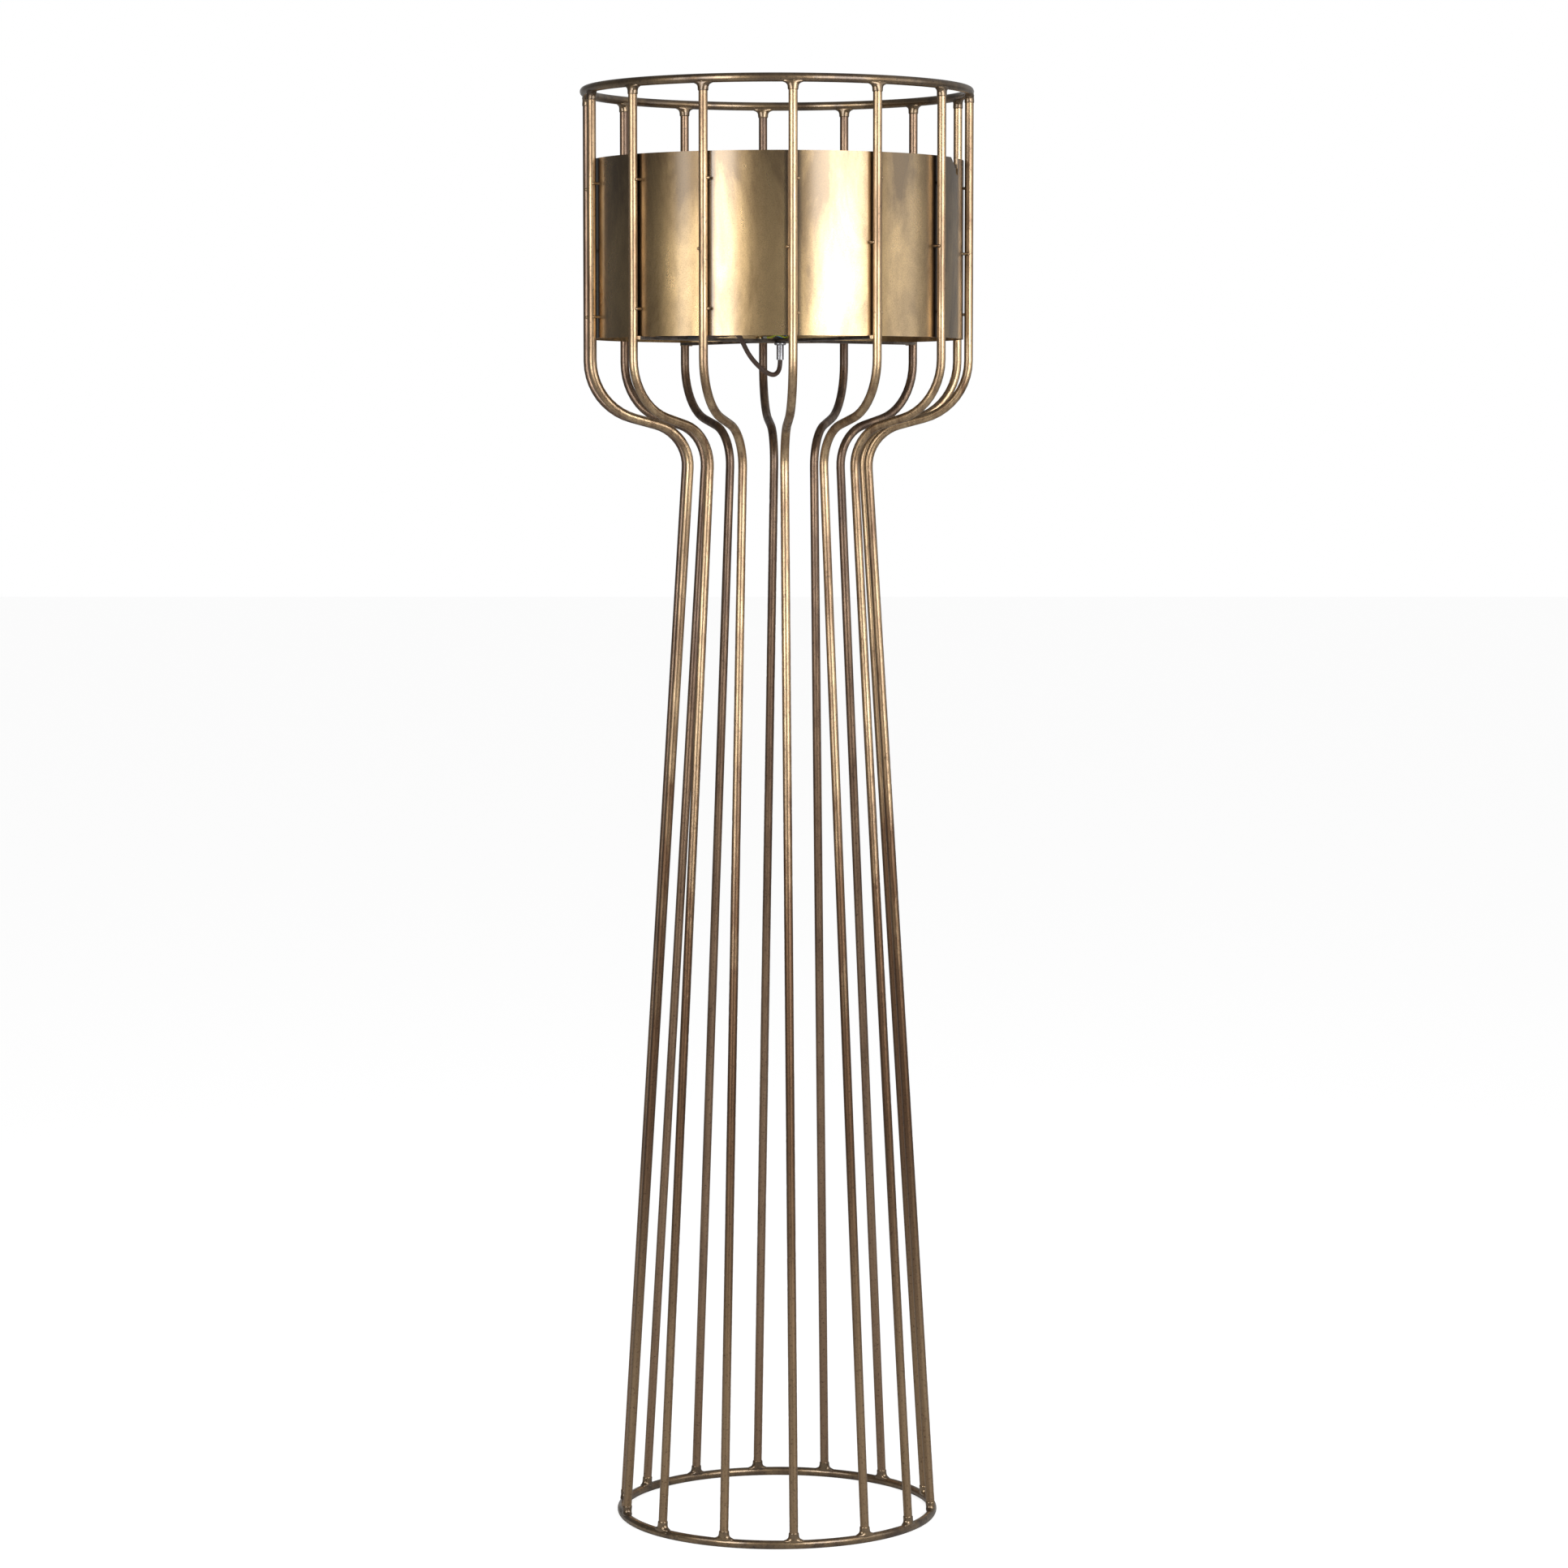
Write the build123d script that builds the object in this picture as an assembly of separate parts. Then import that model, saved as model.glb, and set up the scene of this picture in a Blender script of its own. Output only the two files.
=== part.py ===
from build123d import *
import math
import os

# Wire cage floor lamp. Millimetres, +Z up. The origin is on the floor, in the middle of the foot ring.
# The front of the lamp faces -Y. Angles round the lamp start at the front and grow towards +X.

# Rings and rods of the cage
overall_height = 1650.0
ring_rod_diameter = 10.0
cage_rod_diameter = 10.0
rod_count = 14
top_ring_radius = 220.0
foot_ring_radius = 181.5
foot_ground_depth = 0.35
first_rod_angle = 4.9
cope_height = 3.0

# Bends of each rod: the corners where its straight runs would meet, and the radii of the bends.
# The shoulder's corner lies this far under the lamp's top, and the neck's this far under the shoulder's.
shoulder_drop = 362.5
neck_drop = 31.3
neck_corner_radius = 103.1
shoulder_bend_radius = 68.0
neck_bend_radius = 48.0

# Turns in degrees by which each hand-set rod misses its even place: at the top ring, neck and foot
hand_set_turns = [
    (-0.2, -0.2, 1.2),
    (-0.3, -0.6, 2.9),
    (0.5, 0.5, 0.0),
    (2.0, 1.6, -1.5),
    (0.1, 1.2, -1.5),
    (-0.2, 1.9, 2.7),
    (-0.4, -3.8, 2.5),
    (-0.5, -3.3, 2.7),
    (-0.7, 0.7, 2.0),
    (-1.8, -4.0, 2.5),
    (0.5, 1.5, -1.5),
    (0.5, 1.0, -1.5),
    (0.0, 0.2, 0.4),
    (-0.7, -0.7, 1.5),
]

# Flared welds between rods and rings
weld_bend = 7.0
weld_proud = 0.35
weld_seat_height = 2.5
weld_edge_below = 0.6
weld_edge_above = 1.0
weld_middle_rise = 3.0
weld_end_rise = 1.5

# Shade band, its seam and its notch. The inset is from the circle of the rods to the band's outside.
band_inset = 6.3
band_sheet = 1.2
band_height = 202.3
seam_angle = 73.0
seam_gap = 0.5
notch_width = 24.0
notch_depth = 19.5
notch_step_width = 13.0
notch_step_depth = 9.0
notch_foot_width = 8.0
notch_foot_rise = 2.0
seam_strip_width = 16.0
seam_strip_sheet = 1.0
seam_strip_drop = 11.0

# Tack pins that hold the band to the rods, by their height above the band's lower edge
tack_diameter = 3.2
tack_bead_diameter = 3.8
tack_side_step = 0.6
upper_tack_height = 173.0
middle_tack_height = 98.5
lower_tack_height = 27.0

# Steps by which each rod's hand-set tacks miss these heights: upper, middle and lower
hand_set_tack_steps = [
    (-1.7, -1.9, -2.6),
    (0.4, 4.1, -1.2),
    (-0.8, 2.9, 1.6),
    (-2.0, -2.2, 0.8),
    (1.2, 0.5, -1.4),
    (-0.6, -1.5, 1.9),
    (0.9, 1.8, -0.7),
    (-1.1, -0.4, 2.2),
    (0.3, 1.2, -1.8),
    (1.4, -1.0, 0.6),
    (-0.9, 0.8, -1.1),
    (0.5, -0.3, -3.2),
    (0.5, -2.1, 3.6),
    (-0.6, -3.4, 2.6),
]

# Cross straps under the band
strap_width = 16.0
strap_sheet = 3.0
strap_over_shoulder = 73.7
strap_nest = 1.5
long_strap_rod_indexes = (1, 8)
short_strap_rod_indexes = (12, 5)
strap_bead_diameter = 5.0
strap_bead_edge = 0.9
strap_bead_side_step = 5.5

# Holder bracket, a C of strip steel on the cross straps
holder_step = 6.0
bracket_width = 16.0
bracket_sheet = 2.0
bracket_front = 12.0
bracket_back = 14.0
bracket_inside_height = 28.0
bracket_bend = 2.0
bracket_hole_clearance = 0.15

# Cord grip, nuts and threaded tube
tube_thread_diameter = 9.9
grip_flange_diameter = 13.6
grip_flange_height = 3.7
grip_flange_edge = 1.6
grip_barrel_diameter = 8.3
grip_barrel_length = 16.6
grip_thread_length = 10.0
grip_sheath_depth = 2.2
nut_across = 14.0
nut_height = 3.0
holder_tube_length = 10.5
holder_tube_bore = 7.4
holder_tube_below = 5.0

# Lampholder
cap_neck_diameter = 20.0
cap_neck_height = 5.0
cap_neck_bore_depth = 4.5
cap_diameter = 41.0
cap_shoulder_height = 14.0
cap_height = 22.0
cap_wall = 1.9
body_height = 40.0
body_wall = 3.7
body_spigot_length = 5.0
body_lip_height = 3.0
cap_ledge_depth = 1.0
insert_diameter = 33.0
insert_seat_clearance = 0.2
insert_flange_height = 3.0
insert_height = 18.0
shell_bore = 26.9
shell_sheet = 0.4
shell_height = 24.0
shell_floor_hole = 14.0
shell_lip_clearance = 0.3
neutral_strip_length = 7.0
neutral_strip_width = 8.0
live_strip_width = 10.0
strip_past_terminal = 3.0
strip_past_well = 0.6
strip_sheet = 0.8
terminal_step = 10.5
terminal_screw_diameter = 3.0
terminal_screw_length = 6.0
terminal_head_diameter = 5.0
terminal_head_height = 2.0

# Sprung centre contact
plunger_diameter = 6.0
plunger_head_diameter = 8.0
plunger_head_height = 1.2
plunger_rise_at_rest = 3.0
plunger_collar_diameter = 8.0
plunger_collar_height = 1.0
plunger_collar_depth = 9.0
plunger_travel = 3.63
plunger_stop_spare = 0.6
plunger_clearance = 0.05
spring_well_diameter = 8.8
spring_wire = 0.7
spring_diameter = 7.2
spring_turns = 4

# Bulb
bulb_gap = 0.3
bulb_height = 106.0
tip_diameter = 9.5
tip_height = 1.5
insulator_height = 5.5
insulator_top_diameter = 23.0
bulb_cap_diameter = 25.9
bulb_cap_height = 21.5
bulb_cap_chamfer = 1.5
bulb_neck_diameter = 25.0
bulb_glass_diameter = 60.0
bulb_glass_wall = 0.8
bulb_neck_depth = 6.0

# Turn switch on the side of the lampholder
spindle_height = 5.0
spindle_diameter = 5.0
spindle_clearance = 0.05
spindle_wall_clearance = 0.4
spindle_inner_end = 7.0
knob_gap = 0.5
knob_hub_diameter = 11.0
knob_hub_length = 5.0
knob_blade_length = 8.0
knob_blade_height = 17.0
knob_blade_width = 4.0
knob_socket_depth = 6.0

# Earth screw on the left-hand short strap
earth_screw_step = 28.0
earth_screw_diameter = 4.0
earth_head_diameter = 7.5
earth_head_height = 2.6
earth_tag_diameter = 8.0
earth_tag_sheet = 0.8
earth_tag_turn = -20.0
earth_tag_neck_width = 3.2
earth_barrel_start = 4.5
earth_barrel_length = 5.0
earth_barrel_diameter = 3.6

# Supply cord
cord_diameter = 5.4
core_diameter = 2.0
core_circle_radius = 1.35
brown_start_angle = 90.0
brown_straight_rise = 6.5
blue_start_angle = 210.0
blue_straight_rise = 8.0
earth_start_angle = 330.0
earth_straight_rise = 6.0
core_terminal_inset = 0.9
core_last_run = 3.7
core_barrel_gap = 0.3
core_barrel_run = 4.0
cord_first_drop = 10.5
route_bend_share = 0.45
coil_distance = 135.0
coil_start_angle = -40.0
coil_outer_radius = 38.2
coil_side_pitch = 7.2
coil_layer_pitch = 5.9
coil_half_turns_per_layer = 5
coil_layers = 4
coil_rest_gap = 0.05
coil_approach = 12.6
tie_angle = -85.0
tie_width = 9.0
tie_sheet = 1.2
tie_gap = 0.8

# Plug
plug_diameter = 37.0
plug_rest_gap = 0.2
plug_body_length = 34.0
plug_shoulder_round = 9.0
plug_relief_length = 25.0
plug_relief_end_diameter = 7.4
plug_relief_start_diameter = 13.0
plug_pin_diameter = 4.8
plug_pin_length = 19.0
plug_pin_tip_round = 1.0
plug_pin_spacing = 19.0
plug_pin_seat = 6.0
plug_clip_width = 6.5
plug_clip_depth = 3.0
plug_clip_sheet = 0.8

# Length by which a cutting tool passes the faces that it cuts through
cut_spare = 1.0

# Worked-out places
shoulder_corner_height = overall_height - shoulder_drop
neck_corner_height = shoulder_corner_height - neck_drop
strap_bottom_height = shoulder_corner_height + strap_over_shoulder
band_radius = top_ring_radius - band_inset
top_ring_height = overall_height - ring_rod_diameter / 2
foot_ring_height = ring_rod_diameter / 2 - foot_ground_depth
rod_pitch_angle = 360.0 / rod_count
strap_top_height = strap_bottom_height + strap_sheet
band_inner_radius = band_radius - band_sheet
barrel_bottom = strap_bottom_height - grip_flange_height - grip_barrel_length
sheath_top = strap_bottom_height + grip_thread_length - grip_sheath_depth
bracket_top_height = strap_top_height + bracket_sheet + bracket_inside_height + bracket_sheet
cap_bottom_height = bracket_top_height
body_bottom_height = cap_bottom_height + cap_height
insert_bottom_height = body_bottom_height - body_spigot_length - insert_flange_height
insert_top_height = insert_bottom_height + insert_height
body_top_height = body_bottom_height + body_height
plunger_top_height = insert_top_height + plunger_rise_at_rest
bulb_bottom_height = plunger_top_height + bulb_gap
standing = (Align.CENTER, Align.CENTER, Align.MIN)


def around(angle, radius, height):
    """Point at an angle in degrees round the lamp's axis, counted from the front towards +X."""
    turn = math.radians(angle)
    return Vector(radius * math.sin(turn), -radius * math.cos(turn), height)


def rod_angle(index, place):
    """Angle of rod `index` at place 0 (top ring), 1 (neck) or 2 (foot ring)."""
    turns = hand_set_turns[index % len(hand_set_turns)]
    return first_rod_angle + index * rod_pitch_angle + turns[place]


def cylinder_between(start, end, diameter):
    axis = end - start
    plane = Plane(origin=start, z_dir=axis)
    return extrude(plane * Circle(diameter / 2), axis.length)


def upright(x, y, bottom, top, diameter):
    return Pos(x, y, bottom) * Cylinder(diameter / 2, top - bottom, align=standing)


def rod_core(x, y, level):
    """A short straight piece of a rod's body, for cutting what is nested against the rod."""
    return upright(x, y, level - cage_rod_diameter, level + cage_rod_diameter, cage_rod_diameter)


def swept_tube(path, diameter):
    section = Plane(origin=path @ 0, z_dir=path % 0) * Circle(diameter / 2)
    return sweep(section, path=path)


def cage_ring(radius, height):
    return Pos(0, 0, height) * Torus(radius, ring_rod_diameter / 2)


def ground_foot_ring():
    ring = cage_ring(foot_ring_radius, foot_ring_height)
    floor = Pos(0, 0, -ring_rod_diameter / 2) * Box(
        3 * foot_ring_radius, 3 * foot_ring_radius, ring_rod_diameter
    )
    return ring - floor


def rod_points(index):
    top = around(rod_angle(index, 0), top_ring_radius, top_ring_height)
    shoulder = around(rod_angle(index, 0), top_ring_radius, shoulder_corner_height)
    neck = around(rod_angle(index, 1), neck_corner_radius, neck_corner_height)
    foot = around(rod_angle(index, 2), foot_ring_radius, foot_ring_height)
    return top, shoulder, neck, foot


def cage_rod(index, top_ring, foot_ring):
    top, shoulder, neck, foot = rod_points(index)
    leg = (neck - foot).normalized()
    top_end = top - Vector(0, 0, cope_height)
    foot_end = foot + leg * (cope_height / leg.Z)
    bends = [shoulder_bend_radius, neck_bend_radius]
    path = FilletPolyline(top_end, shoulder, neck, foot_end, radius=bends)
    return swept_tube(path, cage_rod_diameter) - top_ring - foot_ring


def flared_weld(joint, along_rod, along_ring, ring, rod):
    """A smooth fillet that spreads from the rod along the ring, lofted through ellipses."""
    ring_half = ring_rod_diameter / 2
    rod_half = cage_rod_diameter / 2
    up = 1 if along_rod.Z > 0 else -1
    heights = [
        weld_seat_height,
        ring_half - weld_edge_below,
        ring_half + weld_edge_above,
        ring_half + weld_middle_rise,
        ring_half + weld_bend + weld_end_rise,
    ]
    sections = []
    for height in heights:
        left = max(ring_half + weld_bend - height, 0)
        spread = weld_bend - math.sqrt(max(weld_bend**2 - left**2, 0))
        length = rod_half + weld_proud + min(spread, weld_bend)
        seat = math.sqrt(max(ring_half**2 - height**2, 0))
        width = rod_half + weld_proud if height >= ring_half - weld_edge_below else seat + weld_proud
        centre = joint + along_rod * (height / abs(along_rod.Z))
        plane = Plane(origin=centre, x_dir=along_ring, z_dir=(0, 0, up))
        sections.append(plane * Ellipse(length, width))
    return loft(sections) - ring - rod


def top_weld(index, ring, rod):
    top, shoulder, neck, foot = rod_points(index)
    angle = rod_angle(index, 0)
    along_ring = around(angle + 90, 1, 0)
    return flared_weld(top, Vector(0, 0, -1), along_ring, ring, rod)


def foot_weld(index, ring, rod):
    top, shoulder, neck, foot = rod_points(index)
    angle = rod_angle(index, 2)
    along_ring = around(angle + 90, 1, 0)
    return flared_weld(foot, (neck - foot).normalized(), along_ring, ring, rod)


def band_wall(inner, outer, bottom, height):
    wall = Cylinder(outer, height) - Cylinder(inner, height)
    return Pos(0, 0, bottom + height / 2) * wall


def turned_to(angle, shape):
    """A shape modelled at the front, its outside towards -Y, is turned to its angle round the lamp."""
    return Rot(0, 0, angle) * shape


def shade_band():
    wall = band_wall(band_inner_radius, band_radius, strap_top_height, band_height)
    top = strap_top_height + band_height
    reach = 4 * band_sheet
    middle = strap_top_height + band_height / 2
    slit = Pos(0, -band_radius, middle) * Box(seam_gap, reach, band_height + 2 * cut_spare)
    corner = seam_gap / 2
    outline = Polyline(
        (corner, top + cut_spare),
        (corner, top - notch_depth),
        (corner - notch_foot_width, top - notch_depth + notch_foot_rise),
        (corner - notch_step_width, top - notch_step_depth),
        (corner - notch_width, top),
        (corner - notch_width, top + cut_spare),
        close=True,
    )
    notch = extrude(Plane.XZ.offset(band_radius - reach) * make_face(outline), 2 * reach)
    return wall - turned_to(seam_angle, slit + notch)


def seam_strip():
    outer = band_inner_radius
    height = band_height - seam_strip_drop
    wall = band_wall(outer - seam_strip_sheet, outer, strap_top_height, height)
    slab = Pos(0, -outer, strap_top_height + height / 2) * Box(seam_strip_width, 0.2 * outer, height)
    return wall & turned_to(seam_angle, slab)


def tack_pins(row, height, side):
    """One short round pin per rod, from the band's outside to a bead on the rod's flank.

    Side 1 is the rod's flank towards the next rod, side -1 the other one.
    """
    step = cage_rod_diameter / 2 + tack_side_step
    pins = []
    for index in range(rod_count):
        hand_set_step = hand_set_tack_steps[index % len(hand_set_tack_steps)][row]
        level = strap_top_height + height + hand_set_step
        start = Vector(step, -band_inner_radius, level)
        end = Vector(step, -top_ring_radius, level)
        pin = cylinder_between(start, end, tack_diameter) + Pos(*end) * Sphere(tack_bead_diameter / 2)
        band_core = upright(0, 0, level - tack_diameter, level + tack_diameter, 2 * band_radius)
        pin = pin - band_core - rod_core(0, -top_ring_radius, level)
        if side < 0:
            pin = mirror(pin, about=Plane.YZ)
        pins.append(turned_to(rod_angle(index, 0), pin))
    return pins


def strap_line(rods):
    """Start and end of a strap's centre line, on the axes of the two rods that it joins."""
    middle = strap_bottom_height + strap_sheet / 2
    start = around(rod_angle(rods[0], 0), top_ring_radius, middle)
    end = around(rod_angle(rods[1], 0), top_ring_radius, middle)
    return start, end


def strap_bar(rods):
    start, end = strap_line(rods)
    along = (end - start).normalized()
    inset = cage_rod_diameter / 2 - strap_nest
    length = (end - start).length - 2 * inset
    plane = Plane(origin=(start + end) / 2, x_dir=along, z_dir=(0, 0, 1))
    bar = plane * Box(length, strap_width, strap_sheet)
    for rod in rods:
        place = around(rod_angle(rod, 0), top_ring_radius, 0)
        bar = bar - rod_core(place.X, place.Y, strap_bottom_height)
    return bar


def strap_axis_point(rods, step):
    """Point on a strap's centre line, `step` from the lamp's middle towards the first rod."""
    start, end = strap_line(rods)
    towards = (start - end).normalized()
    middle = start + towards * (-start).dot(towards)
    return middle + towards * step


def strap_beads():
    """Beads on both sides of each strap where it meets its rods."""
    level = strap_bottom_height + strap_sheet / 2
    bead_radius = strap_bead_diameter / 2
    inset = cage_rod_diameter / 2 - strap_nest
    beads = []
    for rods in (long_strap_rod_indexes, short_strap_rod_indexes):
        bar = strap_bar(rods)
        start, end = strap_line(rods)
        for near, far in ((start, end), (end, start)):
            inwards = (far - near).normalized()
            sideways = Vector(-inwards.Y, inwards.X, 0)
            rod = rod_core(near.X, near.Y, level)
            for side in (-1, 1):
                centre = near + inwards * inset + sideways * (side * strap_bead_side_step)
                bead = Cylinder(bead_radius, strap_sheet + 2 * strap_bead_edge)
                bead = fillet(bead.edges().filter_by(GeomType.CIRCLE), strap_bead_edge)
                beads.append(Pos(*centre) * bead - bar - rod)
    return beads


holder_centre = strap_axis_point(long_strap_rod_indexes, holder_step)
holder_x = holder_centre.X
holder_y = holder_centre.Y


def at_holder(bottom, top, diameter):
    return upright(holder_x, holder_y, bottom, top, diameter)


def long_strap():
    hole_diameter = tube_thread_diameter + 2 * bracket_hole_clearance
    hole = at_holder(strap_bottom_height - cut_spare, strap_top_height + cut_spare, hole_diameter)
    return strap_bar(long_strap_rod_indexes) - hole


def short_straps():
    """The cross bar is cut in two by the long strap; the half towards its first rod comes first."""
    halves = (strap_bar(short_strap_rod_indexes) - strap_bar(long_strap_rod_indexes)).solids()
    halves = sorted(halves, key=lambda half: half.center().X)
    left, right = halves[0], halves[-1]
    return left - earth_screw(), right


def holder_bracket():
    depth = bracket_front + bracket_back
    middle_y = holder_y + (bracket_back - bracket_front) / 2
    height = bracket_top_height - strap_top_height
    middle_z = strap_top_height + height / 2
    block = Pos(holder_x, middle_y, middle_z) * Box(bracket_width, depth, height)
    back_edges = block.edges().filter_by(Axis.X).group_by(Axis.Y)[-1]
    block = fillet(back_edges, bracket_bend + bracket_sheet)
    window = Pos(holder_x, middle_y - bracket_sheet, middle_z) * Box(
        bracket_width + 2 * cut_spare, depth, height - 2 * bracket_sheet
    )
    window_edges = window.edges().filter_by(Axis.X).group_by(Axis.Y)[-1]
    window = fillet(window_edges, bracket_bend)
    hole_diameter = tube_thread_diameter + 2 * bracket_hole_clearance
    hole = at_holder(strap_top_height - cut_spare, bracket_top_height + cut_spare, hole_diameter)
    bracket = block - window - hole
    corners = bracket.edges().filter_by(Axis.Z).group_by(Axis.Y)[0]
    return fillet(corners, bracket_bend)


def cord_grip():
    flange = at_holder(strap_bottom_height - grip_flange_height, strap_bottom_height, grip_flange_diameter)
    flange = fillet(flange.edges().filter_by(GeomType.CIRCLE), grip_flange_edge)
    barrel = at_holder(barrel_bottom, strap_bottom_height, grip_barrel_diameter)
    thread = at_holder(strap_bottom_height, strap_bottom_height + grip_thread_length, tube_thread_diameter)
    thread_top = strap_bottom_height + grip_thread_length
    bore = at_holder(barrel_bottom - cut_spare, thread_top + cut_spare, cord_diameter)
    return flange + barrel + thread - bore


def thread_nut(bottom):
    nut = Pos(holder_x, holder_y, bottom) * extrude(
        RegularPolygon(nut_across / 2, 6, major_radius=False), nut_height
    )
    return nut - at_holder(bottom - cut_spare, bottom + nut_height + cut_spare, tube_thread_diameter)


holder_tube_bottom = bracket_top_height - bracket_sheet - holder_tube_below


def holder_tube():
    top = holder_tube_bottom + holder_tube_length
    tube = at_holder(holder_tube_bottom, top, tube_thread_diameter)
    return tube - at_holder(holder_tube_bottom - cut_spare, top + cut_spare, holder_tube_bore)


def turned_profile(points):
    """Solid of revolution about the lampholder's axis from (radius, height) corners."""
    outline = Polyline(*[(radius, 0, height) for radius, height in points], close=True)
    solid = revolve(make_face(outline), Axis.Z)
    return Pos(holder_x, holder_y, 0) * solid


def holder_cap():
    base = cap_bottom_height
    neck = cap_neck_diameter / 2
    outer = cap_diameter / 2
    bore = tube_thread_diameter / 2
    seat = insert_diameter / 2 + insert_seat_clearance
    inner = outer - cap_wall
    ledge = insert_bottom_height
    rim = base + cap_height
    return turned_profile(
        [
            (bore, base),
            (neck, base),
            (neck, base + cap_neck_height),
            (outer, base + cap_shoulder_height),
            (outer, rim),
            (inner, rim),
            (inner, ledge),
            (seat - cap_wall, ledge),
            (seat - cap_wall, ledge - cap_ledge_depth),
            (neck - cap_wall / 2, base + cap_neck_bore_depth),
            (bore, base + cap_neck_bore_depth),
        ]
    )


def holder_body():
    base = body_bottom_height
    outer = cap_diameter / 2
    spigot = outer - cap_wall
    inner = outer - body_wall
    lip = shell_bore / 2 + shell_sheet + shell_lip_clearance
    top = body_top_height
    body = turned_profile(
        [
            (inner, base - body_spigot_length),
            (spigot, base - body_spigot_length),
            (spigot, base),
            (outer, base),
            (outer, top - body_lip_height),
            (outer - body_lip_height / 2, top),
            (lip, top),
            (lip, top - body_lip_height),
            (inner, top - body_lip_height),
        ]
    )
    hole_diameter = spindle_diameter + 2 * spindle_wall_clearance
    hole = cylinder_between(on_spindle(inner - cut_spare), on_spindle(outer + cut_spare), hole_diameter)
    return body - hole


def on_spindle(distance):
    return Vector(holder_x + distance, holder_y, body_bottom_height + spindle_height)


def holder_insert():
    flange = cap_diameter / 2 - cap_wall
    main = insert_diameter / 2
    bottom = insert_bottom_height
    top = insert_top_height
    shelf = bottom + insert_flange_height
    block = turned_profile(
        [(0, bottom), (flange, bottom), (flange, shelf), (main, shelf), (main, top), (0, top)]
    )
    guide = at_holder(bottom - cut_spare, top + cut_spare, plunger_diameter + 2 * plunger_clearance)
    well_top = top - plunger_collar_depth + plunger_travel + plunger_stop_spare
    well = at_holder(bottom - cut_spare, well_top, spring_well_diameter)
    bearing_start = on_spindle(spindle_inner_end - cut_spare)
    bearing_end = on_spindle(main + cut_spare)
    bearing = cylinder_between(bearing_start, bearing_end, spindle_diameter + 2 * spindle_clearance)
    screw_holes = [terminal_screw(side) for side in (-1, 1)]
    block = block - guide - well - bearing
    for screw in screw_holes:
        block = block - screw
    return block


def screw_shell():
    bore = shell_bore / 2
    outer = bore + shell_sheet
    bottom = insert_top_height
    top = bottom + shell_height
    hole = shell_floor_hole / 2
    floor = bottom + shell_sheet
    return turned_profile(
        [(hole, bottom), (outer, bottom), (outer, top), (bore, top), (bore, floor), (hole, floor)]
    )


def terminal_screw(side):
    """Screw from below through a contact strip into the insert; side -1 is left, 1 is right."""
    x = holder_x + side * terminal_step
    under = insert_bottom_height - strip_sheet
    shank = upright(x, holder_y, under, insert_bottom_height + terminal_screw_length, terminal_screw_diameter)
    head = upright(x, holder_y, under - terminal_head_height, under, terminal_head_diameter)
    return shank + head


def contact_strips():
    """The right strip closes the spring well and feeds the centre contact, the left one feeds the shell."""
    bottom = insert_bottom_height - strip_sheet
    outer_end = terminal_step + strip_past_terminal
    inner_end = -spring_well_diameter / 2 - strip_past_well
    live_middle = (outer_end + inner_end) / 2
    neutral_middle = neutral_strip_length / 2 - outer_end
    live = Box(outer_end - inner_end, live_strip_width, strip_sheet, align=standing)
    live = Pos(holder_x + live_middle, holder_y, bottom) * live
    neutral = Box(neutral_strip_length, neutral_strip_width, strip_sheet, align=standing)
    neutral = Pos(holder_x + neutral_middle, holder_y, bottom) * neutral
    return [live - terminal_screw(1), neutral - terminal_screw(-1)]


def contact_plunger():
    top = plunger_top_height
    head = at_holder(top - plunger_head_height, top, plunger_head_diameter)
    collar_top = insert_top_height - plunger_collar_depth
    stem = at_holder(collar_top, top, plunger_diameter)
    collar = at_holder(collar_top - plunger_collar_height, collar_top, plunger_collar_diameter)
    return head + stem + collar


def contact_spring():
    """A compression spring under the contact's collar, with flat ground ends."""
    bottom = insert_bottom_height
    top = insert_top_height - plunger_collar_depth - plunger_collar_height
    height = top - bottom
    pitch = (height - spring_wire) / spring_turns
    radius = (spring_diameter - spring_wire) / 2
    path = Pos(holder_x, holder_y, bottom + spring_wire / 2) * Helix(pitch, height - spring_wire, radius)
    wire = swept_tube(path, spring_wire)
    return wire


def bulb_tip():
    return at_holder(bulb_bottom_height, bulb_bottom_height + tip_height, tip_diameter)


insulator_bottom = bulb_bottom_height + tip_height
bulb_cap_bottom = insulator_bottom + insulator_height
bulb_cap_top = bulb_cap_bottom + bulb_cap_height


def bulb_insulator():
    return turned_profile(
        [
            (0, insulator_bottom),
            (tip_diameter / 2, insulator_bottom),
            (insulator_top_diameter / 2, bulb_cap_bottom),
            (0, bulb_cap_bottom),
        ]
    )


def bulb_cap():
    outer = bulb_cap_diameter / 2
    inner = bulb_neck_diameter / 2
    return turned_profile(
        [
            (0, bulb_cap_bottom),
            (insulator_top_diameter / 2, bulb_cap_bottom),
            (outer, bulb_cap_bottom + bulb_cap_chamfer),
            (outer, bulb_cap_top),
            (inner, bulb_cap_top),
            (inner, bulb_cap_top - bulb_neck_depth),
            (0, bulb_cap_top - bulb_neck_depth),
        ]
    )


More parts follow.
